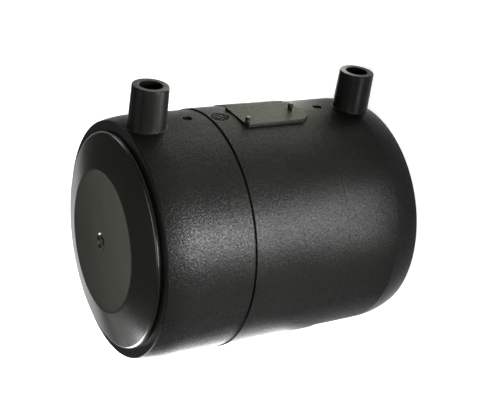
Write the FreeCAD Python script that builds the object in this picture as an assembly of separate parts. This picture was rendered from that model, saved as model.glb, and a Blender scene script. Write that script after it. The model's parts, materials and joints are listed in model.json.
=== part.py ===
import FreeCAD, Part
import math
import os

# Electrofusion end cap for a 90 mm polyethylene pipe, in millimetres.
#
# A moulded socket carries a resistance wire in its bore. The wire runs between two brass
# terminal pins, each inside a moulded shroud. A hollow plug closes one end of the socket.
# The cap stands on its open mouth: the axis is Z, the mouth is at Z = 0, the plug is on
# top, and the shrouds point along +X.

# Pipe and socket bore
pipe_diameter = 90.0
socket_clearance = 0.45          # radial room between the pipe and the bore
mouth_chamfer = 1.6              # lead-in inside the mouth

# Body outline
body_length = 132.5
wall = 11.55                     # wall of the middle section
section_step = 0.5               # the end sections stand back by this much
section_length = 41.6            # length of each end section
taper_length = 13.2              # each end curves in over this length
closed_end_drop = 1.85           # radius lost over that length at the closed end
mouth_end_drop = 2.55            # radius lost over that length at the mouth
mouth_edge = 0.8                 # bevel on the mouth's outer edge
closed_edge = 0.5                # bevel on the closed end's outer edge
seam_width = 1.1                 # groove where the closed end's section begins
seam_depth = 0.9

# Terminal shrouds
shroud_mouth_land = 2.7          # from the mouth's face to the foot of its shroud
shroud_closed_land = 0.5         # from the closed end's face to the foot of its shroud
shroud_height = 75.0             # top of a shroud, from the axis
shroud_radius = 8.3              # at the top
shroud_draft = 1.0               # degrees
shroud_bore = 5.2
shroud_depth = 18.0              # depth of the well round the pin
shroud_edge = 0.4
shroud_foot = 1.3                # fillet where a shroud meets the body

# Terminal pins
pin_radius = 2.35                # a 4.7 mm contact
pin_shank_radius = 2.9           # in the wall
pin_shoulder = 0.4               # the shank stands this far out of the well's floor
pin_recess = 4.5                 # the tip stays this far below the shroud's top
pin_tip = 0.6
pin_head_radius = 3.5            # head at the wire's end, locked in the wall
pin_head_height = 1.6
insert_clearance = 0.03          # round every insert in the moulding

# Resistance wire, a flat strip
strip = 0.95
strip_clearance = 0.05
zone_start = 20.0                # cold length at each end before a fusion zone
zone_length = 28.0
turns = 5

# Fusion indicators
indicator_heights = [30.0, 100.8]
indicator_angle = 3.0            # degrees from the line of the shrouds
indicator_well = 2.25
indicator_well_depth = 2.6
indicator_radius = 1.4
indicator_recess = 0.45          # top of the pin below the body's surface
indicator_floor = 1.6            # wall left between the pin and the winding

# Label plate between the shrouds, and a curved pad beside it
label_rise = 0.6                 # its flat top, above the body's highest line
label_margin = 1.0               # from the end of the middle section
label_length = 35.4
label_width = 22.4
label_corner = 3.6               # cut corners towards the mouth
label_top_corner = 1.4           # shallower ones towards the closed end
side_pad_length = 32.0
side_pad_near = 16.5             # distance round the body from the line of the shrouds
side_pad_width = 9.5
side_pad_height = 0.4
side_pad_corner = 2.0

# Two short posts that stand on the label plate
post_radius = 1.2
post_height = 2.3
low_post_side = 2.2
low_post_inset = 3.7
high_post_side = -8.6
high_post_inset = 2.1

# End plug
spigot_clearance = 0.45          # between the plug's spigot and the bore
spigot_wall = 8.2
spigot_length = 63.0
spigot_chamfer = 1.8
rim_radius = 49.9
rim_thickness = 2.2
rim_edge = 0.45                  # bevel on the rim's front edge
rim_undercut = 0.6               # bevel that opens a shadow line at the seat
disc_radius = 32.8
disc_rise = 6.7                  # the disc stands this far above the seat
crown_wall = 12.0                # from the disc down to the hollow
hollow_corner = 5.0              # bevel at the top of the hollow
gate_radius = 4.3
gate_depth = 0.7
gate_nub = 2.4

bore_radius = pipe_diameter / 2 + socket_clearance
body_radius = bore_radius + wall
section_radius = body_radius - section_step
recess_radius = bore_radius + strip + 2 * strip_clearance
shroud_floor = shroud_height - shroud_depth
shroud_spread = math.tan(math.radians(shroud_draft)) * (shroud_height - section_radius)
shroud_reach = shroud_radius + shroud_spread + shroud_foot
shroud_heights = [shroud_mouth_land + shroud_reach, body_length - shroud_closed_land - shroud_reach]
insert_root = bore_radius + wall / 2  # what stands on the body starts this deep in its wall
label_low = section_length + label_margin
label_high = label_low + label_length
label_top = body_radius + label_rise

X = FreeCAD.Vector(1, 0, 0)
Y = FreeCAD.Vector(0, 1, 0)
Z = FreeCAD.Vector(0, 0, 1)
ORIGIN = FreeCAD.Vector(0, 0, 0)


def point(r, z):
    """A point of a turned outline, in the XZ plane."""
    return FreeCAD.Vector(r, 0, z)


def turned(points):
    """The solid that an outline in the XZ plane sweeps round the Z axis."""
    return Part.Face(Part.makePolygon([*points, points[0]])).revolve(ORIGIN, Z, 360)


def bevel(before, at, after, size):
    """The two points that replace a corner of an outline where its edge is broken."""
    return at + (before - at).normalize() * size, at + (after - at).normalize() * size


def lines(points):
    """Straight edges from each point to the next."""
    return [Part.makeLine(start, end) for start, end in zip(points, points[1:])]


def taper(end, side):
    """The arc from an end face's corner to the straight side, which it meets without a corner."""
    drop = side.x - end.x
    rise = side.z - end.z
    radius = (drop * drop + rise * rise) / (2 * drop)
    centre = side - X * radius
    middle = centre + ((end + side) * 0.5 - centre).normalize() * radius
    return Part.Arc(end, middle, side).toShape()


def outer_rim(body, height):
    """The outer edge of the body's end face at that height."""
    flat = [e for e in body.Edges if e.BoundBox.ZLength < 0.01 and abs(e.BoundBox.ZMax - height) < 0.01]
    return [e for e in flat if e.BoundBox.XMax > bore_radius + wall / 2]


def socket():
    """The body's turned shape: two tapered end sections, a proud middle one and the bore."""
    seam = body_length - section_length
    mouth_outer = point(section_radius - mouth_end_drop, 0)
    mouth_top = point(section_radius, taper_length)
    mouth_inner = point(bore_radius + mouth_chamfer, 0)
    closed_low = point(section_radius, body_length - taper_length)
    closed_outer = point(section_radius - closed_end_drop, body_length)
    closed_inner = point(bore_radius + mouth_chamfer / 2, body_length)
    outside = lines([
        mouth_top,
        point(section_radius, section_length),
        point(body_radius, section_length),
        point(body_radius, seam - seam_width / 2),
        point(section_radius - seam_depth, seam - seam_width / 2),
        point(section_radius - seam_depth, seam + seam_width / 2),
        point(section_radius, seam + seam_width / 2),
        closed_low,
    ])
    inside = lines([
        closed_outer,
        closed_inner,
        point(bore_radius, body_length - mouth_chamfer / 2),
        point(bore_radius, body_length - zone_start),
        point(recess_radius, body_length - zone_start),
        point(recess_radius, body_length - zone_start - zone_length),
        point(bore_radius, body_length - zone_start - zone_length),
        point(bore_radius, zone_start + zone_length),
        point(recess_radius, zone_start + zone_length),
        point(recess_radius, zone_start),
        point(bore_radius, zone_start),
        point(bore_radius, mouth_chamfer),
        mouth_inner,
        mouth_outer,
    ])
    edges = [taper(mouth_outer, mouth_top), *outside, taper(closed_outer, closed_low), *inside]
    body = Part.Face(Part.Wire(edges)).revolve(ORIGIN, Z, 360)
    body.rotate(ORIGIN, Z, 180)
    body = body.makeChamfer(mouth_edge, outer_rim(body, 0))
    return body.makeChamfer(closed_edge, outer_rim(body, body_length))


def shroud(height):
    """One drafted terminal shroud, from inside the wall to its broken top edge."""
    length = shroud_height - insert_root
    spread = math.tan(math.radians(shroud_draft)) * length
    foot = FreeCAD.Vector(insert_root, 0, height)
    cone = Part.makeCone(shroud_radius + spread, shroud_radius, length, foot, X)
    top = [e for e in cone.Edges if e.BoundBox.XMin > shroud_height - 0.01]
    return cone.makeChamfer(shroud_edge, top)


def foot_edges(body, height):
    """The edges where a shroud meets the outside of the body."""
    found = []
    for edge in body.Edges:
        box = edge.BoundBox
        near = box.ZMin > height - shroud_reach and box.ZMax < height + shroud_reach
        beside = abs(box.YMin) < shroud_reach and abs(box.YMax) < shroud_reach
        root = section_radius - closed_end_drop - 2 < box.XMin and box.XMax < body_radius + 1
        if near and beside and root and edge.Length > 1:
            found.append(edge)
    return found


def label_plate():
    """The flat plate for the label, which stands proud of the round body most at its long sides."""
    half = label_width / 2
    low_cut = label_corner
    high_cut = label_top_corner
    side = [
        (half - low_cut, label_low),
        (half, label_low + low_cut),
        (half, label_high - high_cut),
        (half - 2 * high_cut, label_high),
    ]
    other = [(-y, z) for y, z in reversed(side)]
    corners = [FreeCAD.Vector(insert_root, y, z) for y, z in [*side, *other, side[0]]]
    return Part.Face(Part.makePolygon(corners)).extrude(X * (label_top - insert_root))


def side_pad():
    """A thin pad that follows the round body beside the label plate."""
    start = math.degrees(side_pad_near / body_radius)
    sweep = math.degrees(side_pad_width / body_radius)
    length = side_pad_length
    outer = Part.makeCylinder(body_radius + side_pad_height, length, point(0, label_low), Z, sweep)
    inner = Part.makeCylinder(insert_root, length, point(0, label_low), Z, sweep)
    plate = outer.cut(inner)
    plate.rotate(ORIGIN, Z, start)
    corner = Part.makePolygon([
        FreeCAD.Vector(0, 0, label_low),
        FreeCAD.Vector(0, side_pad_corner * 0.6, label_low),
        FreeCAD.Vector(0, 0, label_low + side_pad_corner),
        FreeCAD.Vector(0, 0, label_low),
    ])
    wedge = Part.Face(corner).extrude(X * (body_radius + 5))
    wedge.rotate(ORIGIN, Z, start)
    return plate.cut(wedge)


def radial(shape, height, angle):
    """Takes a shape built along +X to its height and angle on the body."""
    shape.translate(Z * height)
    shape.rotate(ORIGIN, Z, angle)
    return shape


def rod(radius, start, end):
    """A plain rod along +X between two distances from the axis."""
    return Part.makeCylinder(radius, end - start, X * start, X)


def label_post(side, height):
    """A short post on the label plate."""
    post = rod(post_radius, insert_root, label_top + post_height)
    post.translate(Y * side + Z * height)
    return post


def pin_outline(grow):
    """A terminal pin's outline: head, shank and contact; grow widens it for its seat."""
    tip = shroud_height - pin_recess
    foot = recess_radius + insert_clearance
    shoulder = shroud_floor + pin_shoulder
    return [
        point(0, foot - grow),
        point(pin_head_radius + grow, foot - grow),
        point(pin_head_radius + grow, foot + pin_head_height + grow),
        point(pin_shank_radius + grow, foot + pin_head_height + grow),
        point(pin_shank_radius + grow, shoulder),
        point(pin_radius + grow, shoulder),
        point(pin_radius + grow, tip - pin_tip),
        point(pin_radius + grow - pin_tip, tip),
        point(0, tip),
    ]


def terminal_pin(height, grow=0.0):
    """A brass terminal pin in its place, or its seat when grow is the clearance."""
    solid = turned(pin_outline(grow))
    solid.rotate(ORIGIN, Y, 90)
    return radial(solid, height, 0)


def indicator_bottom():
    return recess_radius + indicator_floor


def coupler_body():
    """Socket, shrouds, label plate and pads in one moulding, with the wells and seats cut out."""
    body = socket()
    for height in shroud_heights:
        body = body.fuse(shroud(height))
    body = body.removeSplitter()
    for height in shroud_heights:
        body = body.makeFillet(shroud_foot, foot_edges(body, height))
    body = body.fuse(label_plate())
    body = body.fuse(side_pad())
    body = body.fuse(label_post(low_post_side, label_low + low_post_inset))
    body = body.fuse(label_post(high_post_side, label_high - high_post_inset))
    for height in shroud_heights:
        body = body.cut(radial(rod(shroud_bore, shroud_floor, shroud_height + 1), height, 0))
        body = body.cut(terminal_pin(height, insert_clearance))
    for height in indicator_heights:
        well = rod(indicator_well, section_radius - indicator_well_depth, shroud_height)
        hole = rod(indicator_radius + insert_clearance, indicator_bottom(), shroud_height)
        body = body.cut(radial(well, height, indicator_angle))
        body = body.cut(radial(hole, height, indicator_angle))
    half = strip / 2 + strip_clearance
    low, high = shroud_heights
    groove = Part.makeBox(recess_radius - bore_radius + 1, 2 * half, high - low + 2 * half,
                          FreeCAD.Vector(bore_radius - 1, -half, low - half))
    return body.cut(groove).removeSplitter()


def strip_run(low, high):
    """A straight run of the strip along the bore, under the shrouds."""
    inner = recess_radius - strip_clearance - strip
    return Part.makeBox(strip, strip, high - low, FreeCAD.Vector(inner, -strip / 2, low))


def strip_winding(low, high):
    """The turns of one fusion zone, a helix of square section that starts and ends at +X."""
    inner = recess_radius - strip_clearance - strip
    start = low + strip / 2 + strip_clearance
    pitch = (high - low - strip - 2 * strip_clearance) / turns
    spine = Part.makeHelix(pitch, pitch, inner + strip / 2)
    spine.translate(Z * start)
    section = Part.makePolygon([
        FreeCAD.Vector(inner, 0, start - strip / 2),
        FreeCAD.Vector(inner + strip, 0, start - strip / 2),
        FreeCAD.Vector(inner + strip, 0, start + strip / 2),
        FreeCAD.Vector(inner, 0, start + strip / 2),
        FreeCAD.Vector(inner, 0, start - strip / 2),
    ])
    sweep = Part.BRepOffsetAPI.MakePipeShell(Part.Wire(spine.Edges))
    sweep.setFrenetMode(True)
    sweep.add(section)
    sweep.build()
    sweep.makeSolid()
    turn = sweep.shape()
    winding = turn
    for index in range(1, turns):
        winding = winding.fuse(turn.translated(Z * pitch * index))
    return winding


def heating_wire():
    """Lead, fusion zone, crossing, fusion zone and lead, in one continuous strip."""
    low, high = shroud_heights
    first = zone_start
    second = body_length - zone_start - zone_length
    wire = strip_run(low - strip / 2, first + strip_clearance + strip)
    wire = wire.fuse(strip_winding(first, first + zone_length))
    wire = wire.fuse(strip_run(first + zone_length - strip_clearance - strip, second + strip_clearance + strip))
    wire = wire.fuse(strip_winding(second, second + zone_length))
    wire = wire.fuse(strip_run(second + zone_length - strip_clearance - strip, high + strip / 2))
    return wire


def end_plug():
    """A hollow spigot under a flanged crown: rim, cone, flat disc and the gate mark."""
    outer = pipe_diameter / 2 + socket_clearance - spigot_clearance
    inner = outer - spigot_wall
    seat = body_length
    low = seat - spigot_length
    disc = seat + disc_rise
    roof = disc - crown_wall
    rim_front = seat + rim_thickness
    return turned([
        point(0, disc),
        point(gate_nub / 2, disc),
        point(gate_nub, disc - gate_depth),
        point(gate_radius - gate_depth / 2, disc - gate_depth),
        point(gate_radius, disc),
        point(disc_radius, disc),
        *bevel(point(disc_radius, disc), point(rim_radius, rim_front), point(rim_radius, seat), rim_edge),
        point(rim_radius, seat + rim_undercut),
        point(rim_radius - rim_undercut, seat),
        point(outer, seat),
        point(outer, low + spigot_chamfer),
        point(outer - spigot_chamfer, low),
        point(inner, low),
        *bevel(point(inner, low), point(inner, roof), point(0, roof), hollow_corner),
        point(0, roof),
    ])


def indicator_pin(height):
    """The post that rises in its well once the joint is fused."""
    top = section_radius - indicator_recess
    post = rod(indicator_radius, indicator_bottom(), top)
    rim = [e for e in post.Edges if e.BoundBox.XMin > top - 0.01]
    return radial(post.makeChamfer(indicator_radius / 4, rim), height, indicator_angle)


pieces = {
    "coupler_body": coupler_body(),
    "end_plug": end_plug(),
    "heating_wire": heating_wire(),
    "terminal_pin_mouth": terminal_pin(shroud_heights[0]),
    "terminal_pin_closed_end": terminal_pin(shroud_heights[1]),
    "indicator_pin_mouth": indicator_pin(indicator_heights[0]),
    "indicator_pin_closed_end": indicator_pin(indicator_heights[1]),
}

os.makedirs("parts", exist_ok=True)
for name, shape in pieces.items():
    shape.exportStep(os.path.join("parts", name + ".step"))
    print(name, "solids", len(shape.Solids), "valid", shape.isValid(), "volume", round(shape.Volume, 1))
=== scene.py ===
# %% [markdown]
# # Electrofusion end cap
#
# The object is a black polyethylene fitting that closes the end of a plastic pipe. A moulded
# socket carries two terminal shrouds and a hidden heating wire, and a smooth plug closes one end.
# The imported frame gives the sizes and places. This script dresses the frame: it replaces the
# moulded pieces with finer meshes of the same form and gives every piece its finish.

import json
import math

import bmesh
import bpy
import numpy as np
from mathutils import Matrix, Vector


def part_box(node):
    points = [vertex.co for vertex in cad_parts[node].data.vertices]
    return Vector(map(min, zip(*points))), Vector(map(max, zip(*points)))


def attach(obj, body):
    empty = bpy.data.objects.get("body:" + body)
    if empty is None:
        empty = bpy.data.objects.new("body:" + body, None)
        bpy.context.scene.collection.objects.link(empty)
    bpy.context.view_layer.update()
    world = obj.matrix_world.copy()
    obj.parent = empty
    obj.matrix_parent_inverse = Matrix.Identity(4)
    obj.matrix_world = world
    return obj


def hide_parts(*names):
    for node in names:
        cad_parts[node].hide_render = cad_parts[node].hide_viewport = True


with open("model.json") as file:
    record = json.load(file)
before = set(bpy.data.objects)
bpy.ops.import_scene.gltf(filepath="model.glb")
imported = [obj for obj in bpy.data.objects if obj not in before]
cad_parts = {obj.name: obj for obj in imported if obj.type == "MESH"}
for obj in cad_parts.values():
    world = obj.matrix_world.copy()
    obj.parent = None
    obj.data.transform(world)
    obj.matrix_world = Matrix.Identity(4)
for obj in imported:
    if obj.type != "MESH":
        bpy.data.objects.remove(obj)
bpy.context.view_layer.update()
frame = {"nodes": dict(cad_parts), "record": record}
print("frame pieces:", sorted(frame["nodes"]))

# %% [markdown]
# ## Sizes from the frame
#
# Outlines are worked out in millimetres, because mouldings are drawn that way, and each mesh is
# brought to metres when it is made. The main sizes could be typed in again, but they are read
# from the frame's boxes and mounts, so the dressed pieces sit where the frame's pieces are.

# %% Read the main sizes
MM = 0.001
body_high = np.array(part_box("coupler_body")[1]) / MM
plug_high = np.array(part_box("end_plug")[1]) / MM
mounts = {mount["name"]: mount for mount in frame["record"]["mounts"]}
body_length = round(body_high[2], 2)
body_radius = round(body_high[1], 1)
shroud_top = round(body_high[0], 2)
bore_radius = mounts["pipe_socket"]["dims"]["r_mm"]
terminals = ("terminal_mouth", "terminal_closed_end")
shroud_heights = [mounts[name]["pos_m"][2] / MM for name in terminals]
disc_height = round(plug_high[2], 2)
rim_radius = round(plug_high[1], 1)
print("body", body_radius, "x", body_length, "mm, shrouds at",
      [round(height, 2) for height in shroud_heights])

# %% [markdown]
# ## Meshes from arrays
#
# Every new piece is a grid of points worked out as whole arrays, which is quick and leaves the
# mesh with even faces. These helpers turn the points and faces into an object that rides on the
# frame, with its faces turned outwards. Weighted normals keep large faces flat beside small
# rounded edges.

# %% Make an object from points and faces
def join_rings(first, second):
    """Quads between two closed rings of point numbers: each links i and i + 1 of both rings."""
    return np.stack([first, np.roll(first, -1), np.roll(second, -1), second], axis=1)


def fan(ring, pole):
    """Triangles from a closed ring of point numbers to one pole."""
    return np.stack([ring, np.roll(ring, -1), np.full(len(ring), pole)], axis=1)


def turn_outwards(mesh):
    """Turns a closed mesh's faces outwards and counts the edges that aren't closed."""
    work = bmesh.new()
    work.from_mesh(mesh)
    bmesh.ops.recalc_face_normals(work, faces=work.faces)
    open_edges = sum(1 for edge in work.edges if len(edge.link_faces) != 2)
    work.to_mesh(mesh)
    work.free()
    return open_edges


def make_piece(name, points, quads, triangles, node, slot, sharp_angle=40):
    """A finished piece from points in millimetres; it replaces a frame node and rides on it."""
    mesh = bpy.data.meshes.new(name)
    mesh.from_pydata((points * MM).tolist(), [], [*quads.tolist(), *triangles.tolist()])
    mesh.validate()
    piece = bpy.data.objects.new(name, mesh)
    bpy.context.scene.collection.objects.link(piece)
    open_edges = turn_outwards(mesh)
    mesh.shade_smooth()
    mesh.set_sharp_from_angle(angle=math.radians(sharp_angle))
    weights = piece.modifiers.new("even_normals", "WEIGHTED_NORMAL")
    weights.keep_sharp = True
    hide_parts(node)
    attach(piece, "root")
    print(name, len(mesh.vertices), "points,", len(mesh.polygons), "faces,",
          open_edges, "open edges")
    return piece


# %% [markdown]
# ## Outlines with rounded corners
#
# A moulding has no sharp corner: each edge of the mould has a small radius, and that radius is
# what catches the light. A Bevel modifier could round every edge by one width. Here an outline is
# a list of corners, each with its own rounding, and the straight stretches are divided where a
# feature needs more points.

# %% Round and divide an outline
TINY = 1e-12                     # keeps the division harmless where a length is zero


def unit(vectors):
    """Each vector divided by its own length."""
    return vectors / (np.linalg.norm(vectors, axis=-1, keepdims=True) + TINY)


def rounded(corners, pieces=4):
    """Points of an outline given as (radius, height, rounding) corners.

    A corner of rounding q between two sides at an angle a becomes an arc of radius q that touches
    both sides q / tan(a / 2) from the corner. Its centre lies q / sin(a / 2) inside the corner.
    """
    corners = np.array(corners, float)
    place, rounding = corners[:, :2], corners[:, 2, None]
    before = unit(np.roll(place, 1, axis=0) - place)
    after = unit(np.roll(place, -1, axis=0) - place)
    half = np.arccos(np.clip((before * after).sum(1), -1, 1)) / 2
    half = np.maximum(half, 1e-6)[:, None]
    reach = rounding / np.tan(half)
    start, end = place + before * reach, place + after * reach
    centre = place + unit(before + after) * (rounding / np.sin(half))
    share = np.linspace(0, 1, pieces + 1)[None, :, None]
    chord = start[:, None] * (1 - share) + end[:, None] * share - centre[:, None]
    arc = centre[:, None] + unit(chord) * rounding[:, None]
    is_round = rounding > 0
    keep = is_round | (np.arange(pieces + 1)[None] == 0)
    return np.where(is_round[:, None], arc, place[:, None])[keep]


def divided(points, longest):
    """Adds points to a closed outline: no step is longer than longest says for its middle."""
    step = np.roll(points, -1, axis=0) - points
    count = np.ceil(np.linalg.norm(step, axis=1) / longest(points + step / 2) - 1e-6)
    count = np.maximum(count, 1).astype(int)
    which = np.repeat(np.arange(len(points)), count)
    place = np.arange(len(which)) - np.repeat(np.cumsum(count) - count, count)
    return points[which] + step[which] * (place / count[which])[:, None]


print("a square with one corner rounded has",
      len(rounded([(0, 0, 0), (1, 0, 0), (1, 1, 0.2), (0, 1, 0)])), "points")

# %% [markdown]
# ## The body's outside
#
# The socket has three sections. The middle one stands half a millimetre proud, a groove marks its
# upper end, and both end sections curve in towards their ends. One function gives the plain
# outside at any height, so that everything on the body can be laid on it.

# %% Plain outside of the body
section_step = 0.5
section_radius = body_radius - section_step
section_length = 41.6
seam_height = body_length - section_length
seam_half, seam_floor, seam_depth = 0.42, 0.1, 0.45
taper_length = 13.2
mouth_drop, closed_drop = 2.55, 1.85


def taper_loss(depth, drop):
    """Radius lost at a depth into a taper: R - sqrt(R^2 - depth^2).

    That is a circle tangent to the straight side. Its radius R = (length^2 + drop^2) / (2 drop)
    makes the loss equal to drop at the taper's full length.
    """
    arc = (taper_length ** 2 + drop ** 2) / (2 * drop)
    return arc - np.sqrt(arc ** 2 - np.clip(depth, 0, taper_length) ** 2)


def outside_radius(height):
    """Radius of the outside: section, plus the softened step, less what each taper takes."""
    rise = np.clip((height - section_length + 0.5), 0, 1) * (height < seam_height)
    mouth = taper_loss(taper_length - height, mouth_drop)
    closed = taper_loss(height - body_length + taper_length, closed_drop)
    return section_radius + section_step * rise - mouth - closed


end_radii = outside_radius(np.array([0.0, body_length]))
print("radius at the mouth", end_radii[0], "and at the closed end", end_radii[1])

# %% [markdown]
# ## The body's grid
#
# The body is one closed grid: rows run round the outline of the wall, and columns round the axis.
# An even grid fine enough for the smallest feature would be far too heavy, so rows and columns lie
# closer together only where a pad, a well or a shroud needs them. The distance round the body is
# measured from the line of the shrouds.

# %% Rows of the body
bore_recess = bore_radius + 1.05
mid_wall = bore_radius + 5       # rows further out than this belong to the outside
zone_start, zone_length = 20.0, 28.0
closed_chamfer, mouth_chamfer = 0.8, 1.6
taper_row = 1.1
fine_step = 0.4
fine_rows = [
    (0.9, 24.2, 1.15),           # foot of the shroud at the mouth
    (26.4, 33.6, 0.45),          # indicator near the mouth
    (42.0, 78.8, fine_step),     # label plate
    (80.6, 90.1, fine_step),     # dial
    (97.2, 104.4, 0.45),         # indicator near the closed end
    (110.6, 132.1, 1.15),        # foot of the shroud at the closed end
]


def row_spacing(middles):
    """Longest step of a row: coarse in the bore, finer outside, and finest in the windows."""
    outside = middles[:, 0] > bore_radius + 4
    longest = np.where(outside, 3.0, 7.0)
    for low, high, step in fine_rows:
        inside = outside & (middles[:, 1] > low) & (middles[:, 1] < high)
        longest = np.where(inside, step, longest)
    return longest


def side_corners(low, high, radius):
    """Corners without rounding where the windows start and end on a straight side."""
    heights = sorted({edge for window in fine_rows for edge in window[:2]})
    return [(radius, height, 0) for height in heights if low < height < high]


def taper_corners(heights):
    """Corners without rounding along the curve of a taper."""
    return [(float(outside_radius(height)), float(height), 0) for height in heights]


def bore_corners():
    """The bore, from the closed end down: two wider stretches hold the winding."""
    top, bottom = body_length - zone_start, zone_start
    return [
        (bore_radius + closed_chamfer, body_length, 0.1),
        (bore_radius, body_length - closed_chamfer, 0.1),
        (bore_radius, top, 0), (bore_recess, top, 0),
        (bore_recess, top - zone_length, 0), (bore_radius, top - zone_length, 0),
        (bore_radius, bottom + zone_length, 0), (bore_recess, bottom + zone_length, 0),
        (bore_recess, bottom, 0), (bore_radius, bottom, 0),
        (bore_radius, mouth_chamfer, 0.3), (bore_radius + mouth_chamfer, 0, 0.3),
    ]


closed_taper = np.arange(body_length - taper_length, body_length - 1.0, taper_row)
closed_taper = np.append(closed_taper, body_length - 0.5)
outline = rounded([
    (section_radius - mouth_drop, 0, 0.8),
    *taper_corners(np.arange(taper_row, taper_length, taper_row)),
    *side_corners(taper_length, section_length, section_radius),
    (section_radius, section_length, 0.12),
    (body_radius, section_length, 0.45),
    *side_corners(section_length, seam_height - 1, body_radius),
    (body_radius, seam_height - seam_half, 0.2),
    (section_radius - seam_depth, seam_height - seam_floor, 0.1),
    (section_radius - seam_depth, seam_height + seam_floor, 0.1),
    (section_radius, seam_height + seam_half, 0.3),
    *side_corners(seam_height + 1, body_length - taper_length, section_radius),
    *taper_corners(closed_taper),
    (section_radius - closed_drop, body_length, 0.42),
    *bore_corners(),
])
outline = divided(outline, row_spacing)
print("rows round the wall", len(outline))

# %% [markdown]
# ## Columns round the axis
#
# The features sit in a narrow band along the line of the shrouds, and the side pad beside it. The
# columns are fine in these two stretches and coarse over the rest of the girth, which is plain.

# %% Columns of the body
def column_places(stretches):
    """Distances round the body, for (start, end, longest step) stretches that follow on."""
    return np.concatenate([
        np.linspace(start, end, math.ceil((end - start) / step), endpoint=False)
        for start, end, step in stretches
    ])


girth = 2 * math.pi * body_radius
column_span = 12.4               # half the width of the band along the line of the shrouds
band_end = column_span + 0.01
columns = column_places([
    (-column_span, column_span, fine_step),
    (column_span, 16.6, 1.05),
    (16.6, 26.6, fine_step),
    (26.6, girth - column_span, 2.6),
])
print("columns round the axis", len(columns))

# %% [markdown]
# ## Pad beside the label plate
#
# A thin pad follows the round body on the far side of the label plate. It could be a piece of its
# own laid on the wall, but the real one is part of the moulding, so it is a change of the grid's
# radius. The height grows with the distance inside the pad's edge, up to its full height, which
# gives the pad a short sloped side as a mould does.

# %% Side pad as a height on the grid
label_low = section_length + 1.0
label_high = label_low + 35.4
side_pad = {
    "sides": (16.5, 26.0, label_low, label_low + 32.0),
    "rise": 0.4, "slope": 0.4, "corner": (1.2, 2.0),
}


def side_pad_rise(across, height):
    """Height of the side pad: its distance inside the nearest edge, held to its full rise.

    The edges are the four sides and the line that cuts the corner nearest to the mouth.
    """
    left, right, low, high = side_pad["sides"]
    run, rise = side_pad["corner"]
    cut = ((across - left) / run + (height - low) / rise - 1) / math.hypot(1 / run, 1 / rise)
    inside = np.minimum.reduce([across - left, right - across, height - low, high - height, cut])
    return side_pad["rise"] * np.clip(inside / side_pad["slope"], 0, 1)


def wall_grid():
    """The body's points: the outline carried round the axis, with the side pad raised on it."""
    row, column = np.meshgrid(np.arange(len(outline)), np.arange(len(columns)), indexing="ij")
    radius, height = outline[row, 0], outline[row, 1]
    on_middle = radius > section_radius + 0.01
    radius = radius + on_middle * side_pad_rise(columns[column], height)
    angle = columns[column] / body_radius
    return np.stack([radius * np.cos(angle), radius * np.sin(angle), height], axis=-1)


body_grid = wall_grid()
print("points of the wall", body_grid.shape[0] * body_grid.shape[1])

# %% [markdown]
# ## Label plate
#
# The plate for the label is flat, so it stands proud of the round body most at its long sides.
# Its walls need sharp edges, also at the cut corners, which a plain grid can't follow. So the
# grid's lines are bent: each closed loop of the grid round the plate is moved to the plate's
# outline at a chosen distance, first on the body, then up the wall, then in over the flat top.

# %% Bend the grid round the label plate
label_top = body_radius + 0.6
label_half = 11.2                # half the plate's width
low_cut, high_cut = 3.6, 1.4     # cut corners towards the mouth and towards the closed end
label_middle = (label_low + label_high) / 2
half_length = (label_high - label_low) / 2
rows_below, rows_above = 0.61, 0.81
relax_loops = 10                 # loops over which the bent grid becomes even again
wall_steps = [                   # (distance inside the outline, share of the wall's height)
    (-0.15, 0.0), (0.0, 0.0), (0.0, 0.5), (0.0, 0.9), (0.04, 0.98), (0.10, 1.0), (0.22, 1.0),
]


def plate_reach(y, z, inset):
    """How far a place lies from the plate's middle, as a share of the way to its outline.

    The outline is a polygon: for each side with normal n at distance d, the share is
    n.p / (d - inset), and the largest share counts.
    """
    root = math.sqrt(0.5)
    lean = math.hypot(1, 2)
    low_side = (label_half - low_cut + half_length) * root
    high_side = (label_half - 2 * high_cut + 2 * half_length) / lean
    return np.maximum.reduce([
        np.abs(y) / (label_half - inset),
        np.abs(z) / (half_length - inset),
        (np.abs(y) - z) * root / (low_side - inset),
        (np.abs(y) + 2 * z) / lean / (high_side - inset),
    ])


def bend_round_plate(grid):
    """Moves the grid's points in the plate's window onto the plate: foot, wall, edge and top."""
    outside = np.flatnonzero(outline[:, 0] > mid_wall)
    level = outline[outside, 1]
    rows = outside[(level > label_low - rows_below) & (level < label_high + rows_above)]
    cols = np.flatnonzero(columns < band_end)
    i, j = np.meshgrid(np.arange(len(rows)), np.arange(len(cols)), indexing="ij")
    loop = np.minimum.reduce([i, len(rows) - 1 - i, j, len(cols) - 1 - j])
    window = grid[np.ix_(rows, cols)]
    y, z = window[..., 1], window[..., 2] - label_middle
    steps = np.array([(0.0, 0.0), *wall_steps])
    first, lift = np.moveaxis(steps[np.minimum(loop, len(wall_steps))], -1, 0)
    share = np.clip((loop - len(wall_steps)) / relax_loops, 0, 1)
    deepest = fine_step * (len(wall_steps) + relax_loops) - 1.0
    pull = 1 / plate_reach(y, z, first + share * (deepest - first))
    keep = np.where(loop == 0, 1.0, share ** 2)
    new_y = y * (pull * (1 - keep) + keep)
    new_z = z * (pull * (1 - keep) + keep) + label_middle
    ground = np.sqrt(body_radius ** 2 - new_y ** 2)
    new_x = ground + (label_top - ground) * lift
    grid[np.ix_(rows, cols)] = np.stack([new_x, new_y, new_z], axis=-1)
    print("label plate window", len(rows), "rows by", len(cols), "columns")


bend_round_plate(body_grid)

# %% [markdown]
# ## Round features on the body
#
# Shrouds, wells, posts and the dial are round, and a rectangular grid can't follow a circle. A
# Boolean would cut them in, but it leaves thin faces that shade badly. So a window is cut in the
# grid, and rings of points lead from the window's edge to a circle and on over the feature's own
# outline to its centre. The rings near the foot follow the curved body, which gives a shroud the
# same fillet all round.

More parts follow.
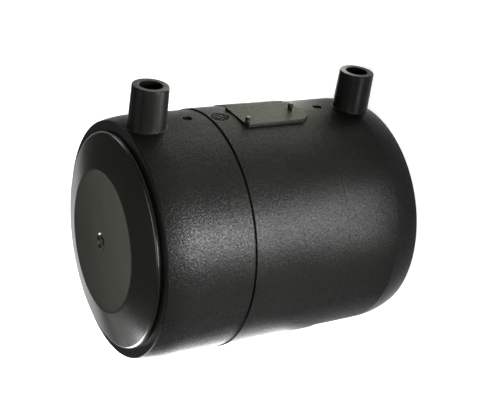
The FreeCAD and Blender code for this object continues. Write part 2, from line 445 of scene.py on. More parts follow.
# %% Windows for the round features
def window_loop(rows, cols):
    """Point numbers round a window of the grid, counter-clockwise from its lowest corner."""
    (row_low, row_high), (col_low, col_high) = rows, cols
    width = len(columns)
    bottom = row_low * width + np.arange(col_low, col_high)
    right = np.arange(row_low, row_high) * width + col_high
    top = row_high * width + np.arange(col_high, col_low, -1)
    left = np.arange(row_high, row_low, -1) * width + col_low
    return np.concatenate([bottom, right, top, left])


def nearest(values, wanted):
    """Number of the value that comes nearest to the wanted one."""
    return int(np.argmin(np.abs(values - wanted)))


def find_window(y, height, half):
    """Rows and columns of the grid round a place, as two pairs.

    The three halves are the window's half width, its reach down and its reach up.
    """
    outside = np.flatnonzero(outline[:, 0] > mid_wall)
    near = np.flatnonzero(columns < band_end)
    row = outside[nearest(body_grid[outside, near[len(near) // 2], 2], height)]
    col = nearest(body_grid[row, near, 1], y)
    levels = body_grid[outside, col, 2]
    low = int(outside[nearest(levels, height - half[1])])
    high = int(outside[nearest(levels, height + half[2])])
    first, last = (nearest(body_grid[row, near, 1], place) for place in (y - half[0], y + half[0]))
    return (low, high), (first, last)


middle_window = find_window(0.0, label_middle, (3.0, 3.0, 3.0))
print("points round a 6 mm window on the plate", len(window_loop(*middle_window)))

# %% [markdown]
# ## The date dial
#
# Mouldings carry a small dial that tells when they were made. Here it is plain: a groove round it,
# twelve short ticks, a smaller groove and a pointer across the centre. It could be a bump in the
# material, but its grooves are deep enough to hold a shadow. So its rings are lifted point by
# point, by a formula in the distance from its centre and the bearing round it.

# %% Height of the dial
dial_radius = 4.4
tick_count = 12
pointer_turn = math.radians(35)


def groove(distance, middle, width):
    """A smooth groove of depth one round the centre: e to the minus square of the offset."""
    return np.exp(-((distance - middle) / width) ** 2)


def dial_lift(distance, bearing):
    """Height of the dial: less its two grooves, its ticks, and its pointer's bar and head."""
    from_tick = np.abs((bearing / (2 * math.pi) * tick_count + 0.5) % 1 - 0.5)
    from_tick = from_tick * (2 * math.pi / tick_count) * distance
    ticks = (from_tick < 0.36) * (distance > 2.7) * (distance < 3.6)
    tilt = bearing - pointer_turn
    along, aside = distance * np.cos(tilt), distance * np.sin(tilt)
    head = (np.abs(aside) < 1.1 - 0.6 * along) * (along > 0.3) * (along < 1.7)
    bar = (np.abs(aside) < 0.34) * (np.abs(along) < 1.6)
    rim = -0.45 * groove(distance, 4.05, 0.24)
    inner = -0.4 * groove(distance, 2.2, 0.2)
    return rim - 0.45 * ticks + inner - 0.5 * np.maximum(bar, head)


dial_distances = np.concatenate([[dial_radius], np.arange(4.3, 0.2, -0.15)])
print("rings of the dial", len(dial_distances))

# %% [markdown]
# ## Rings of a feature
#
# A feature is given in its own frame, in which X points out of the body. Its rings are circles at
# chosen distances from its centre, each laid on the surface below it or held at a height of its
# own. That one rule serves a tall shroud, a hole and a carved dial alike.

# %% Rings for a round feature
def feature_rings(loop_points, feature):
    """Rings of points from a window's edge inwards, and the point at their centre.

    The approach gives the shares of the way from the window's edge to the first ring. A ring is
    (distance, lift, follow): its points lie at that distance from the centre, at
    x = follow * surface + lift. The surface is the flat label plate for a feature that stands on
    it, and the plain outside of the body for the others.
    """
    turn = np.array(Matrix.Rotation(-feature["angle"], 3, "Z"))
    side, height = feature["side"], feature["height"]
    local = loop_points @ turn.T
    bearing = np.arctan2(local[:, 2] - height, local[:, 1] - side)
    distance, lift, follow = (np.array(part, float)[:, None] for part in zip(*feature["rings"]))
    y = side + distance * np.cos(bearing)
    z = height + distance * np.sin(bearing)
    share = np.array(feature["approach"], float)[:, None]
    y = np.vstack([local[None, :, 1] * (1 - share) + y[:1] * share, y])
    z = np.vstack([local[None, :, 2] * (1 - share) + z[:1] * share, z])
    lift = np.vstack([np.zeros_like(share), lift])
    follow = np.vstack([np.ones_like(share), follow])
    surface = np.sqrt(np.maximum(outside_radius(z) ** 2 - y ** 2, 0))
    if feature["on_plate"]:
        surface = np.full(surface.shape, label_top)
    if feature["carved"]:
        lift = lift + dial_lift(np.hypot(y - side, z - height), np.arctan2(z - height, y - side))
    rings = np.stack([follow * surface + lift, y, z], axis=-1)
    pole = rings[-1].mean(axis=0)
    return rings @ turn, pole @ turn


# %% [markdown]
# ## Outlines of the round features
#
# Each outline is a few rings, from the foot to the centre. The shroud leaves the body in a small
# fillet, rises with one degree of draft, turns over a rounded lip and goes down its well. The
# wells of the fusion indicators and the two short posts on the label plate are made the same way.

# %% Rings of shroud, wells and posts
shroud_radius, shroud_bore, shroud_floor = 8.3, 5.2, shroud_top - 18.0
shroud_draft = math.tan(math.radians(1.0))
shroud_foot = 0.5
shroud_centre_ring = 3.3         # last ring on the well's floor


def shroud_rings(lip=0.5, edge=0.3):
    """Fillet on the body, drafted wall, rounded lip, rounded edge of the bore, bore and floor."""
    foot = shroud_radius + (shroud_top - section_radius) * shroud_draft
    turn = np.radians(np.linspace(0, 90, 7))
    fillet = [(foot + shroud_foot * (1 - math.sin(a)), shroud_foot * (1 - math.cos(a)), 1)
              for a in turn]
    wall = [(shroud_radius + (shroud_top - x) * shroud_draft, x, 0)
            for x in np.linspace(section_radius + 4, shroud_top - lip, 7)]
    rim = [(shroud_radius - lip + lip * math.cos(a), shroud_top - lip + lip * math.sin(a), 0)
           for a in turn[1:]]
    inner = [(shroud_bore + edge - edge * math.sin(a), shroud_top - edge + edge * math.cos(a), 0)
             for a in turn]
    well = [(shroud_bore, x, 0) for x in np.linspace(shroud_top - 2, shroud_floor, 6)]
    return [*fillet, *wall, *rim, *inner, *well, (shroud_centre_ring, shroud_floor, 0)]


def blind_hole_rings(radius, depth, edge=0.2):
    """A hole's rounded edge, wall and floor, as depths below the surface round it."""
    turn = np.radians(np.linspace(0, 90, 4))
    lip = [(radius + edge - edge * math.sin(a), -edge + edge * math.cos(a), 1) for a in turn]
    return [*lip, (radius, -depth / 2, 1), (radius, -depth, 1), (radius / 2, -depth, 1)]


def post_rings(radius, rise, foot=0.2, edge=0.25):
    """A short post: a small fillet at its foot, its wall, a rounded edge and its flat top."""
    turn = np.radians(np.linspace(0, 90, 4))
    fillet = [(radius + foot * (1 - math.sin(a)), foot * (1 - math.cos(a)), 1) for a in turn]
    rim = [(radius - edge + edge * math.cos(a), rise - edge + edge * math.sin(a), 1)
           for a in turn]
    return [*fillet, (radius, rise / 2, 1), *rim, (radius / 2, rise, 1)]


print("rings of a shroud", len(shroud_rings()), "and of a post", len(post_rings(1.2, 2.3)))

# %% [markdown]
# ## The features and their places
#
# The two shrouds and the two indicators come in pairs, one for each end. The posts stand on the
# label plate near two of its corners, and the dial lies between the plate and the groove. Each
# window is a little wider than its feature, and as narrow as its neighbours ask.

# %% List the round features
indicator_angle = math.radians(3.0)
indicator_heights = (30.0, 100.8)
indicator_well = (2.25, 2.6)     # radius and depth
post_size = (1.2, 2.3)           # radius and height
dial_height = 85.4
dial_angle = math.radians(0.6)


def feature(height, half, rings, angle=0.0, side=0.0, approach=(), on_plate=False, carved=False):
    """A round feature's place, window and rings, under the names that feature_rings reads."""
    return {"height": height, "half": half, "rings": rings, "angle": angle, "side": side,
            "approach": approach, "on_plate": on_plate, "carved": carved}


def body_features():
    """The shrouds, the indicators' wells, the posts on the label plate and the dial."""
    mouth_shroud, closed_shroud = shroud_heights
    dial_rings = [(distance, 0, 1) for distance in dial_distances]
    return [
        feature(mouth_shroud, (column_span, 11.4, 11.4), shroud_rings(), approach=(0.35, 0.7)),
        feature(closed_shroud, (column_span, 11.4, 9.92), shroud_rings(), approach=(0.35, 0.7)),
        *(feature(height, (3.3, 3.3, 3.3), blind_hole_rings(*indicator_well), indicator_angle,
                  approach=(0.5,)) for height in indicator_heights),
        feature(label_low + 3.7, (1.8, 1.8, 1.8), post_rings(*post_size), side=2.2,
                on_plate=True),
        feature(label_high - 2.1, (1.7, 1.7, 1.7), post_rings(*post_size), side=-8.6,
                on_plate=True),
        feature(dial_height, (4.7, 4.65, 4.65), dial_rings, dial_angle, carved=True),
    ]


print("round features", len(body_features()))

# %% [markdown]
# ## Put the body together
#
# Each feature's window is taken out of the grid's faces, and its rings and their faces are added.
# The result is one closed mesh, as the real body is one moulding.

# %% Assemble the body
def build_body():
    """All points and faces of the body, with the windows cut and the features added."""
    rows, width = len(outline), len(columns)
    numbers = np.arange(rows * width).reshape(rows, width)
    right, up = np.roll(numbers, -1, axis=1), np.roll(numbers, -1, axis=0)
    cells = np.stack([numbers, right, np.roll(up, -1, axis=1), up], axis=-1)
    kept = np.ones((rows, width), bool)
    points = [body_grid.reshape(-1, 3)]
    quads, triangles = [], []
    total = rows * width
    for item in body_features():
        y = item["side"] + body_radius * math.sin(item["angle"])
        (low, high), (first, last) = find_window(y, item["height"], item["half"])
        kept[low:high, first:last] = False
        loop = window_loop((low, high), (first, last))
        rings, pole = feature_rings(points[0][loop], item)
        outer = loop
        for ring in rings:
            inner = total + np.arange(len(loop))
            quads.append(join_rings(outer, inner))
            points.append(ring)
            total += len(loop)
            outer = inner
        points.append(pole[None])
        triangles.append(fan(outer, total))
        total += 1
    quads.append(cells[kept])
    return np.vstack(points), np.vstack(quads), np.vstack(triangles)


body_points, body_quads, body_triangles = build_body()
coupler = make_piece("coupler_body_moulding", body_points, body_quads, body_triangles,
                     "coupler_body", "moulded_pe")

# %% [markdown]
# ## Where the texture is
#
# The mould is spark eroded only on the body's outside: the shrouds, the end faces, a band at the
# mouth and the bore are smooth. Two materials would leave a hard line between them. So a point
# attribute holds the amount of spark texture, between nothing and one, and the material reads it.

# %% Mark the textured skin
shroud_fade = (body_radius + 1.9, body_radius + 2.4)
mouth_fade = (11.6, 13.4)
end_fade = (body_length - 0.5, body_length - 0.1)


def smooth_step(value, start, end):
    """0 before start, 1 after end, and 3t^2 - 2t^3 between them."""
    share = np.clip((value - start) / (end - start), 0, 1)
    return share * share * (3 - 2 * share)


def texture_amount(points):
    """Texture on the outside skin, off the shrouds, above the mouth's band, below the end."""
    x, y, z = points.T
    from_axis = np.hypot(x, y)
    outside = smooth_step(from_axis, mid_wall, bore_radius + 7)
    off_shroud = 1 - smooth_step(from_axis, *shroud_fade)
    above_mouth = smooth_step(z, *mouth_fade)
    below_end = 1 - smooth_step(z, *end_fade)
    return outside * off_shroud * above_mouth * below_end


texture_share = texture_amount(body_points).astype(np.float32)
amount = coupler.data.attributes.new("spark_texture", "FLOAT", "POINT")
amount.data.foreach_set("value", texture_share)
print("share of the body's points with texture", round(float((texture_share > 0.5).mean()), 2))

# %% [markdown]
# ## The end plug
#
# The plug is turned: a disc with the moulding gate's mark at its centre, a shallow cone, a rim
# that stands off the body by a thin shadow line, and a hollow spigot inside the socket. A Screw
# modifier would turn it too. Here one outline is swept round the axis as an array, with a pole at
# each end, so that the mesh is closed.

# %% Turn the plug
def turned(profile, segments):
    """Points and faces of an outline (radius, height) swept round Z; its ends lie on the axis."""
    turn = np.arange(segments) * 2 * math.pi / segments
    ring = profile[1:-1]
    x = ring[:, None, 0] * np.cos(turn)
    y = ring[:, None, 0] * np.sin(turn)
    z = np.broadcast_to(ring[:, None, 1], x.shape)
    points = np.stack([x, y, z], axis=-1).reshape(-1, 3)
    numbers = np.arange(len(points)).reshape(len(ring), segments)
    poles = np.array([[0, 0, profile[0, 1]], [0, 0, profile[-1, 1]]])
    quads = np.vstack([join_rings(low, high) for low, high in zip(numbers, numbers[1:])])
    triangles = np.vstack([fan(numbers[0], len(points)), fan(numbers[-1], len(points) + 1)])
    return np.vstack([points, poles]), quads, triangles


def open_outline(corners, longest, pieces=5):
    """A rounded and divided outline that starts and ends on the axis."""
    points = rounded(corners, pieces)
    points = divided(points, lambda middles: np.full(len(middles), longest))
    last = np.flatnonzero(np.abs(points[:, 0]) < 1e-9)
    return points[:last[np.argmin(np.abs(points[last, 1] - corners[-1][1]))] + 1]


seat = body_length
spigot_radius = bore_radius - 0.45
spigot_low = seat - 63.0
spigot_chamfer = 1.8
hollow_radius = spigot_radius - 8.2
hollow_roof = disc_height - 12.0
hollow_corner = 5.0
disc_radius = 32.8
rim_front = seat + 2.2
rim_undercut = 0.6
nub_height = disc_height - 0.12
gate_floor = disc_height - 0.6
plug_outline = open_outline([
    (0, nub_height, 0),
    (1.3, nub_height, 0.6),
    (2.5, gate_floor, 0.3),
    (3.55, gate_floor, 0.3),
    (4.15, disc_height, 0.25),
    (disc_radius, disc_height, 7.0),
    (rim_radius, rim_front, 1.3),
    (rim_radius, seat + rim_undercut, 0.15),
    (rim_radius - rim_undercut, seat, 0.1),
    (spigot_radius, seat, 0.1),
    (spigot_radius, spigot_low + spigot_chamfer, 0.3),
    (spigot_radius - spigot_chamfer, spigot_low, 0.3),
    (hollow_radius, spigot_low, 0.5),
    (hollow_radius, hollow_roof - hollow_corner, 1.5),
    (hollow_radius - hollow_corner, hollow_roof, 1.5),
    (0, hollow_roof, 0),
], 4.0)
plug = make_piece("end_plug_moulding", *turned(plug_outline, 192), "end_plug", "smooth_pe", 50)

# %% [markdown]
# ## Inserts
#
# The terminal pins and the indicator pins are small turned pieces that lie across the axis. Each
# is turned round Z and then laid along its own direction, with the lengths of the frame's pins.
# A terminal pin has a head that holds it in the wall, a shank, and a thinner contact.

# %% Turn the pins
contact_radius, shank_radius, head_radius, head_height = 2.35, 2.9, 3.5, 1.6
indicator_radius = 1.4


def laid_out(points, height, angle):
    """Lays a piece turned round Z along the body's radius at a height and an angle."""
    lay = Matrix.Rotation(angle, 3, "Z") @ Matrix.Rotation(math.radians(90), 3, "Y")
    return points @ np.array(lay).T + np.array([0, 0, height])


def pin_ends(node):
    """Distances of a frame pin's foot and tip from the axis."""
    low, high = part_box(node)
    return low[0] / MM, high[0] / MM


def terminal_outline(node):
    """A terminal pin from its foot to its tip: head, shank and contact."""
    foot, tip = pin_ends(node)
    neck, shoulder = foot + head_height, shroud_floor + 0.4
    return [
        (0, foot, 0), (head_radius, foot, 0.2), (head_radius, neck, 0.2),
        (shank_radius, neck, 0.1), (shank_radius, shoulder, 0.15),
        (contact_radius, shoulder, 0.1), (contact_radius, tip, 0.6), (0, tip, 0),
    ]


def indicator_outline(node):
    """An indicator pin: a plain rod with a rounded top."""
    foot, tip = pin_ends(node)
    return [(0, foot, 0), (indicator_radius, foot, 0.1), (indicator_radius, tip, 0.35),
            (0, tip, 0)]


def make_pin(node, slot, corners, height, angle):
    """Turns a pin's outline, lays the pin in its place and makes the piece."""
    points, quads, triangles = turned(open_outline(corners, 2.0, 4), 40)
    return make_piece(node + "_turned", laid_out(points, height, angle), quads, triangles,
                      node, slot)


terminal_pins = [
    make_pin(node, "terminal_brass", terminal_outline(node), height, 0.0)
    for node, height in zip(("terminal_pin_mouth", "terminal_pin_closed_end"), shroud_heights)
]
indicator_pins = [
    make_pin(node, "smooth_pe", indicator_outline(node), height, indicator_angle)
    for node, height in zip(("indicator_pin_mouth", "indicator_pin_closed_end"),
                            indicator_heights)
]

# %% [markdown]
# ## Finishes
#
# Both mouldings are the same black polyethylene, but their surfaces differ. The body's mould was
# spark eroded, so its skin is a fine grain of winding pits that scatters the light. The plug came
# from a polished mould and shows soft reflections. All patterns are worked out from noise in the
# piece's own coordinates, so they stay on it wherever it goes. A few helpers keep the materials
# short.

# %% Node helpers
def new_material(name):
    """A material, its node tree and its Principled shader."""
    material = bpy.data.materials.new(name)
    material.use_nodes = True
    tree = material.node_tree
    return material, tree, tree.nodes["Principled BSDF"]


def add(tree, kind, values=None, **options):
    """Adds a node, sets its options, and fills its inputs by name or number."""
    node = tree.nodes.new(kind)
    for key, value in options.items():
        setattr(node, key, value)
    for key, value in (values or {}).items():
        node.inputs[key].default_value = value
    return node


def noise(tree, place, scale, detail, roughness, distortion=0.0):
    """A noise texture at a place; its value lies between 0 and 1."""
    node = add(tree, "ShaderNodeTexNoise", {
        "Scale": scale, "Detail": detail, "Roughness": roughness, "Distortion": distortion})
    tree.links.new(place, node.inputs["Vector"])
    return node.outputs["Fac"]


def ranged(tree, value, low, high, start=0.0, end=1.0):
    """A value that goes from low to high as the source goes from start to end."""
    node = add(tree, "ShaderNodeMapRange", {
        "From Min": start, "From Max": end, "To Min": low, "To Max": high})
    tree.links.new(value, node.inputs["Value"])
    return node


def calculated(tree, operation, *sources):
    """A Math node; each source is a socket or a plain number."""
    node = add(tree, "ShaderNodeMath", operation=operation)
    for number, source in enumerate(sources):
        if isinstance(source, (int, float)):
            node.inputs[number].default_value = source
        else:
            tree.links.new(source, node.inputs[number])
    return node.outputs["Value"]


def toned(tree, share, dark, light):
    """A colour between dark and light."""
    node = add(tree, "ShaderNodeMix", {6: (*dark, 1), 7: (*light, 1)}, data_type="RGBA")
    tree.links.new(share, node.inputs[0])
    return node.outputs[2]


def bumped(tree, shader, height, strength, distance):
    """Feeds a height to the shader's normal; distance is the depth of a full step in metres."""
    node = add(tree, "ShaderNodeBump", {"Strength": strength, "Distance": distance})
    tree.links.new(height, node.inputs["Height"])
    tree.links.new(node.outputs["Normal"], shader.inputs["Normal"])


print("materials from the frame", [material.name for material in bpy.data.materials])

# %% [markdown]
# ## Handling marks
#
# A fitting that has been in a box and in hands has fine scratches and rubbed patches. They could
# be painted, but a noise stretched one way gives scratches, and a slow noise gives the patches.
# Both kinds of polyethylene carry them, so they are one node group that each material places.

# %% Group of handling marks
def new_group(name, inputs, outputs):
    """An empty node group with named sockets, given as name: kind, and its two end nodes."""
    group = bpy.data.node_groups.new(name, "ShaderNodeTree")
    for way, sockets in (("INPUT", inputs), ("OUTPUT", outputs)):
        for title, kind in sockets.items():
            group.interface.new_socket(title, in_out=way, socket_type="NodeSocket" + kind)
    return group, group.nodes.new("NodeGroupInput"), group.nodes.new("NodeGroupOutput")


def scratch_ramp(group, value):
    """Picks out the crests of a noise: nought below 0.66 and one above 0.74."""
    node = add(group, "ShaderNodeValToRGB")
    low, high = node.color_ramp.elements
    low.position, low.color = 0.66, (0, 0, 0, 1)
    high.position, high.color = 0.74, (1, 1, 1, 1)
    group.links.new(value, node.inputs["Fac"])
    return node.outputs["Color"]


def handling_marks():
    """A mask of fine scratches, and a slow change that stands for rubbing."""
    group, start, end = new_group(
        "handling_marks", {"Vector": "Vector"}, {"Scratches": "Float", "Rubbed": "Float"})
    place = start.outputs["Vector"]
    stretch = add(group, "ShaderNodeMapping",
                  {"Scale": (1.0, 1.0, 14.0), "Rotation": (0.5, 0.9, 0.3)})
    group.links.new(place, stretch.inputs["Vector"])
    fine = noise(group, stretch.outputs["Vector"], 90.0, 3.0, 0.6)
    group.links.new(scratch_ramp(group, fine), end.inputs["Scratches"])
    group.links.new(noise(group, place, 38.0, 2.0, 0.5), end.inputs["Rubbed"])
    return group


def place_marks(tree, place):
    """Places the group of handling marks in a material."""
    marks = add(tree, "ShaderNodeGroup", node_tree=marks_group)
    tree.links.new(place, marks.inputs["Vector"])
    return marks.outputs


marks_group = handling_marks()
print("group", marks_group.name, "with", len(marks_group.nodes), "nodes")

# %% [markdown]
# ## Spark-textured polyethylene
#
# Spark erosion leaves a skin of small winding pits. They are far too small and too many for the
# mesh, so they are a bump: a bent noise makes the pits, a finer one adds grit, and both are scaled
# by the attribute that says where the mould is textured. A rough skin seen at a glance shadows
# itself and stays dark, so the specular level falls there with Layer Weight's Facing.

# %% Skin of the body
PE_IOR = 1.51
square_sheen = 0.056             # specular level seen square on
smooth_sheen = 0.06              # at a glance, where the skin is smooth
textured_sheen = 0.012           # at a glance, where it is textured


def body_sheen(tree, texture, grit):
    """Specular level: goes from the square to the glancing one with Facing, times the speckle."""
    facing = add(tree, "ShaderNodeLayerWeight", {"Blend": 0.5}).outputs["Facing"]
    glancing = ranged(tree, texture, smooth_sheen, textured_sheen)
    sheen = ranged(tree, facing, square_sheen, 1.0, 0.16, 0.54)
    tree.links.new(glancing.outputs["Result"], sheen.inputs["To Max"])
    speckle = ranged(tree, grit, 0.60, 1.40, 0.32, 0.68)
    return calculated(tree, "MULTIPLY", sheen.outputs["Result"], speckle.outputs["Result"])


def moulded_pe():
    """Black polyethylene with winding spark pits where the mesh says so, and plain elsewhere."""
    material, tree, shader = new_material("spark_textured_black_pe")
    place = add(tree, "ShaderNodeTexCoord").outputs["Object"]
    texture = add(tree, "ShaderNodeAttribute", attribute_name="spark_texture").outputs["Fac"]
    slanted = add(tree, "ShaderNodeMapping", {"Rotation": (0.6, 0.8, 0.4)})
    tree.links.new(place, slanted.inputs["Vector"])
    worms = noise(tree, slanted.outputs["Vector"], 900.0, 2.0, 0.55, 1.4)
    grit = noise(tree, slanted.outputs["Vector"], 1300.0, 1.0, 0.5)
    patches = noise(tree, slanted.outputs["Vector"], 60.0, 2.0, 0.5)

    pits = calculated(tree, "MULTIPLY_ADD", grit, 0.35, worms)
    bumped(tree, shader, calculated(tree, "MULTIPLY", pits, texture), 1.0, 0.00017)
    tone = toned(tree, patches, (0.0022, 0.0023, 0.0021), (0.0044, 0.0045, 0.0041))
    tree.links.new(tone, shader.inputs["Base Color"])
    rough = ranged(tree, texture, 0.28, 0.27).outputs["Result"]
    worn = calculated(tree, "MULTIPLY_ADD", place_marks(tree, place)["Rubbed"], 0.10, rough)
    tree.links.new(worn, shader.inputs["Roughness"])
    shader.inputs["IOR"].default_value = PE_IOR
    tree.links.new(body_sheen(tree, texture, grit), shader.inputs["Specular IOR Level"])
    return material


body_material = moulded_pe()
print(body_material.name, "has", len(body_material.node_tree.nodes), "nodes")

# %% [markdown]
# ## Smooth polyethylene
#
# The plug came from a polished mould: its skin is even, with a low waviness that bends a
# reflection, and scratches that show a little lighter. The indicator pins have the same skin, but
# their sheen is left out: this is painted shade, standing in for the shade of their deep wells.

# %% Skin of the plug and the indicator pins
def smooth_pe(name, sheen):
    """Black polyethylene from a polished mould, with faint scratches and a low waviness."""
    material, tree, shader = new_material(name)
    place = add(tree, "ShaderNodeTexCoord").outputs["Object"]
    marks = place_marks(tree, place)
    bumped(tree, shader, noise(tree, place, 45.0, 2.0, 0.4), 0.30, 0.0004)
    tone = toned(tree, marks["Scratches"], (0.0070, 0.0072, 0.0055), (0.0100, 0.0103, 0.0085))
    tree.links.new(tone, shader.inputs["Base Color"])
    rough = ranged(tree, marks["Rubbed"], 0.15, 0.25).outputs["Result"]
    tree.links.new(rough, shader.inputs["Roughness"])
    shader.inputs["IOR"].default_value = PE_IOR
    shader.inputs["Specular IOR Level"].default_value = sheen
    return material


plug_material = smooth_pe("smooth_black_pe", 0.33)
# The indicator pins get no sheen at all: painted shade for the dark of the wells they sit in.
indicator_painted_shade_material = smooth_pe("indicator_black_pe", 0.0)
print("smooth finishes", plug_material.name, indicator_painted_shade_material.name)

# %% [markdown]
# ## Brass and resistance wire
#
# The terminals are turned brass and the winding is a drawn copper-nickel alloy. Their grain
# changes the colour, the roughness and the height together, so one node group makes all three
# from one noise, and each metal places it with its own colours and scale.

# %% Group of metal grain and the two metals
def metal_grain():
    """One noise turned into a colour, a roughness and a height."""
    group, start, end = new_group(
        "metal_grain",
        {"Vector": "Vector", "Scale": "Float", "Dark": "Color", "Light": "Color",
         "Least Roughness": "Float", "Most Roughness": "Float"},
        {"Color": "Color", "Roughness": "Float", "Height": "Float"})
    given, link = start.outputs, group.links.new
    grain = noise(group, given["Vector"], 1.0, 3.0, 0.6)
    link(given["Scale"], grain.node.inputs["Scale"])
    tone = toned(group, grain, (0, 0, 0), (1, 1, 1))
    link(given["Dark"], tone.node.inputs[6])
    link(given["Light"], tone.node.inputs[7])
    rough = ranged(group, grain, 0.0, 1.0)
    link(given["Least Roughness"], rough.inputs["To Min"])
    link(given["Most Roughness"], rough.inputs["To Max"])
    link(tone, end.inputs["Color"])
    link(rough.outputs["Result"], end.inputs["Roughness"])
    link(grain, end.inputs["Height"])
    return group


def grained_metal(name, light, dark, rough_low, rough_high, scale):
    """A drawn or turned metal with its own colours, roughness and size of grain."""
    material, tree, shader = new_material(name)
    grain = add(tree, "ShaderNodeGroup", {
        "Scale": scale, "Dark": (*dark, 1), "Light": (*light, 1),
        "Least Roughness": rough_low, "Most Roughness": rough_high}, node_tree=grain_group)
    place = add(tree, "ShaderNodeTexCoord").outputs["Object"]
    tree.links.new(place, grain.inputs["Vector"])
    tree.links.new(grain.outputs["Color"], shader.inputs["Base Color"])
    tree.links.new(grain.outputs["Roughness"], shader.inputs["Roughness"])
    bumped(tree, shader, grain.outputs["Height"], 0.3, 0.00003)
    shader.inputs["Metallic"].default_value = 1.0
    return material


grain_group = metal_grain()
brass = grained_metal("turned_brass", (0.78, 0.60, 0.29), (0.60, 0.42, 0.17), 0.18, 0.34, 700.0)
wire_metal = grained_metal("resistance_wire_metal", (0.66, 0.43, 0.30), (0.45, 0.27, 0.17),
                           0.25, 0.45, 500.0)
print("metals", brass.name, wire_metal.name)

# %% [markdown]
# ## Dress the pieces
#
# Each piece is one material all over, because each is one moulding or one piece of metal. The
# heating wire keeps the frame's own mesh: it lies out of sight in the bore, and its form is right.

# %% Give each piece its finish
def dress(piece, material):
    """Gives a piece one material in its first slot."""
    piece.data.materials.clear()
    piece.data.materials.append(material)


dress(coupler, body_material)
dress(plug, plug_material)
for pin in terminal_pins:
    dress(pin, brass)
for pin in indicator_pins:
    dress(pin, indicator_painted_shade_material)
dress(frame["nodes"]["heating_wire"], wire_metal)
print("materials", [material.name for material in bpy.data.materials if material.users])

# %% [markdown]
# ## Floor
#
# The cap stands on its mouth on a plain pale floor, before white. A floor lit up to white would
# need far more light than the cap. So the floor is a pale grey that also glows, only for the rays
# of the camera, of reflections and of transmission: it is seen white, and keeps the cap's shadow.

# %% Pale floor
floor_grey = 0.70
floor_lift = 0.76
floor_reach = 6.0


def seen_rays(tree):
    """One for rays of the camera, of reflections and of transmission; nought for the others."""
    path = add(tree, "ShaderNodeLightPath").outputs
    first = calculated(tree, "MAXIMUM", path["Is Camera Ray"], path["Is Glossy Ray"])
    return calculated(tree, "MAXIMUM", first, path["Is Transmission Ray"])


def pale_floor():
    """A floor that is lit as a pale grey and lifted to white where it is seen."""
    material, tree, shader = new_material("pale_floor")
    shader.inputs["Base Color"].default_value = (floor_grey, floor_grey, floor_grey, 1)
    shader.inputs["Roughness"].default_value = 0.9
    shader.inputs["Specular IOR Level"].default_value = 0.0
    shader.inputs["Emission Color"].default_value = (1, 1, 1, 1)
    lift = calculated(tree, "MULTIPLY", seen_rays(tree), floor_lift)
    tree.links.new(lift, shader.inputs["Emission Strength"])
    return material


floor_corners = [(-floor_reach, -floor_reach, 0), (floor_reach, -floor_reach, 0),
                 (floor_reach, floor_reach, 0), (-floor_reach, floor_reach, 0)]
floor_mesh = bpy.data.meshes.new("studio_floor")
floor_mesh.from_pydata(floor_corners, [], [(0, 1, 2, 3)])
floor = bpy.data.objects.new("studio_floor", floor_mesh)
bpy.context.scene.collection.objects.link(floor)
dress(floor, pale_floor())
print("floor", 2 * floor_reach, "m across")

# %% [markdown]
# ## World
#
# The world is a studio with pale walls: white low down, where a low view or a reflection meets
# it, and dim higher up, which leaves the tops of black plastic dark. One even white would grey
# every black surface. The rays that light the scene get a weak and even share.

# %% Studio walls
def studio_world():
    """A background whose strength falls from 1 near the horizon to 0.06 above, where seen."""
    world = bpy.data.worlds.new("studio_world")
    world.use_nodes = True
    tree = world.node_tree
    sky = tree.nodes["Background"]
    sky.inputs["Color"].default_value = (1, 1, 1, 1)
    rise = add(tree, "ShaderNodeSeparateXYZ")
    aim = add(tree, "ShaderNodeTexCoord").outputs["Generated"]
    tree.links.new(aim, rise.inputs["Vector"])
    walls = ranged(tree, rise.outputs["Z"], 1.0, 0.06, 0.02, 0.12)
    level = ranged(tree, seen_rays(tree), 0.10, 1.0)
    tree.links.new(walls.outputs["Result"], level.inputs["To Max"])
    tree.links.new(level.outputs["Result"], sky.inputs["Strength"])
    return world


bpy.context.scene.world = studio_world()
print("world", bpy.context.scene.world.name)

# %% [markdown]
# ## Lamps
#
# Black plastic is drawn by what it reflects, so the lamps are wide and soft. The softboxes stand
# on spheres round the cap. An upright wall seen from above reflects the floor, not the room, so
# lit cards lie on the floor too, and make the broad sheen along the wall. The back and far side
# lamps draw the sides that the first view doesn't show.

# %% Softboxes and cards
white, warm = (1.0, 1.0, 1.0), (1.0, 1.0, 0.82)
cap_middle, cap_crown = (0, 0, 0.066), (0, 0, 0.139)
card_height = 0.002


def add_lamp(name, size, power, colour, place):
    """A soft rectangular lamp that the camera doesn't see; place is its matrix."""
    data = bpy.data.lights.new(name, "AREA")
    data.shape = "RECTANGLE"
    data.size, data.size_y = size
    data.energy = power
    data.color = colour
    lamp = bpy.data.objects.new(name, data)
    lamp.matrix_world = place
    lamp.visible_camera = False
    bpy.context.scene.collection.objects.link(lamp)
    print(name, power, "W")


def softbox(name, azimuth, elevation, distance, size, power, centre=cap_middle, colour=white):
    """A lamp on a sphere round a centre, turned to face it."""
    a, e = math.radians(azimuth), math.radians(elevation)
    away = Vector((math.cos(e) * math.cos(a), math.cos(e) * math.sin(a), math.sin(e)))
    place = Matrix.Translation(Vector(centre) + away * distance)
    add_lamp(name, size, power, colour, place @ away.to_track_quat("Z", "Y").to_matrix().to_4x4())


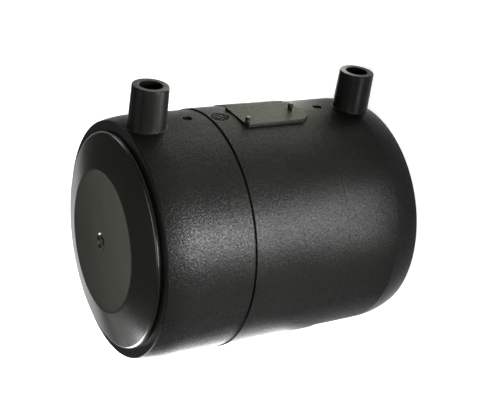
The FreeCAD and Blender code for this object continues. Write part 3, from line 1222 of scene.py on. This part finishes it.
def table_card(name, azimuth, near, far, width, power, colour=white):
    """A lit card that lies on the floor from near to far and faces up."""
    a = math.radians(azimuth)
    middle = (near + far) / 2
    place = Matrix.Translation((middle * math.cos(a), middle * math.sin(a), card_height))
    turn = Matrix.Rotation(a, 4, "Z") @ Matrix.Rotation(math.pi, 4, "X")
    add_lamp(name, (far - near, width), power, colour, place @ turn)


softbox("front_softbox", -78, 35, 0.60, (0.24, 0.24), 2.0)
softbox("crown_softbox", 119, 32, 0.50, (0.21, 0.18), 0.075, cap_crown, warm)
softbox("edge_softbox", 148, 18, 0.50, (0.20, 0.12), 0.035, cap_crown)
softbox("ceiling_softbox", 0, 88, 0.90, (0.50, 0.50), 3.3)
softbox("back_softbox", 164, 22, 0.70, (0.35, 0.35), 6.0)
softbox("far_side_softbox", 62, 30, 0.70, (0.25, 0.25), 0.8)
table_card("near_front_card", -67, 0.085, 0.24, 0.07, 0.80)
table_card("far_front_card", -70, 0.24, 0.52, 0.12, 12.5)
table_card("side_card", 32, 0.08, 0.28, 0.16, 0.52, warm)
table_card("back_card", 146, 0.10, 0.42, 0.20, 2.4)

# %% [markdown]
# ## Camera
#
# The photograph shows the cap lying on its side, while here it stands. So the camera stands where
# the photograph was taken from, found from the cap's circles and shrouds, and is rolled until the
# cap's axis lies across the picture.

# %% Camera
camera_place = Vector((0.23315, -0.37106, 0.31072))
camera_right = Vector((0.13369, -0.48547, -0.86400))
camera_up = Vector((0.88488, 0.45098, -0.11657))
camera_data = bpy.data.cameras.new("photo_camera")
camera_data.lens = 76.99
camera_data.sensor_width = 36.0
camera_data.clip_start = 0.01
camera_data.clip_end = 50.0
camera = bpy.data.objects.new("photo_camera", camera_data)
camera_turn = Matrix((camera_right, camera_up, camera_right.cross(camera_up))).transposed()
camera.matrix_world = Matrix.Translation(camera_place) @ camera_turn.to_4x4()
bpy.context.scene.collection.objects.link(camera)
bpy.context.scene.camera = camera
bpy.context.scene.view_settings.view_transform = "Standard"
print("camera", round(camera_place.length, 3), "m from the mouth's centre")
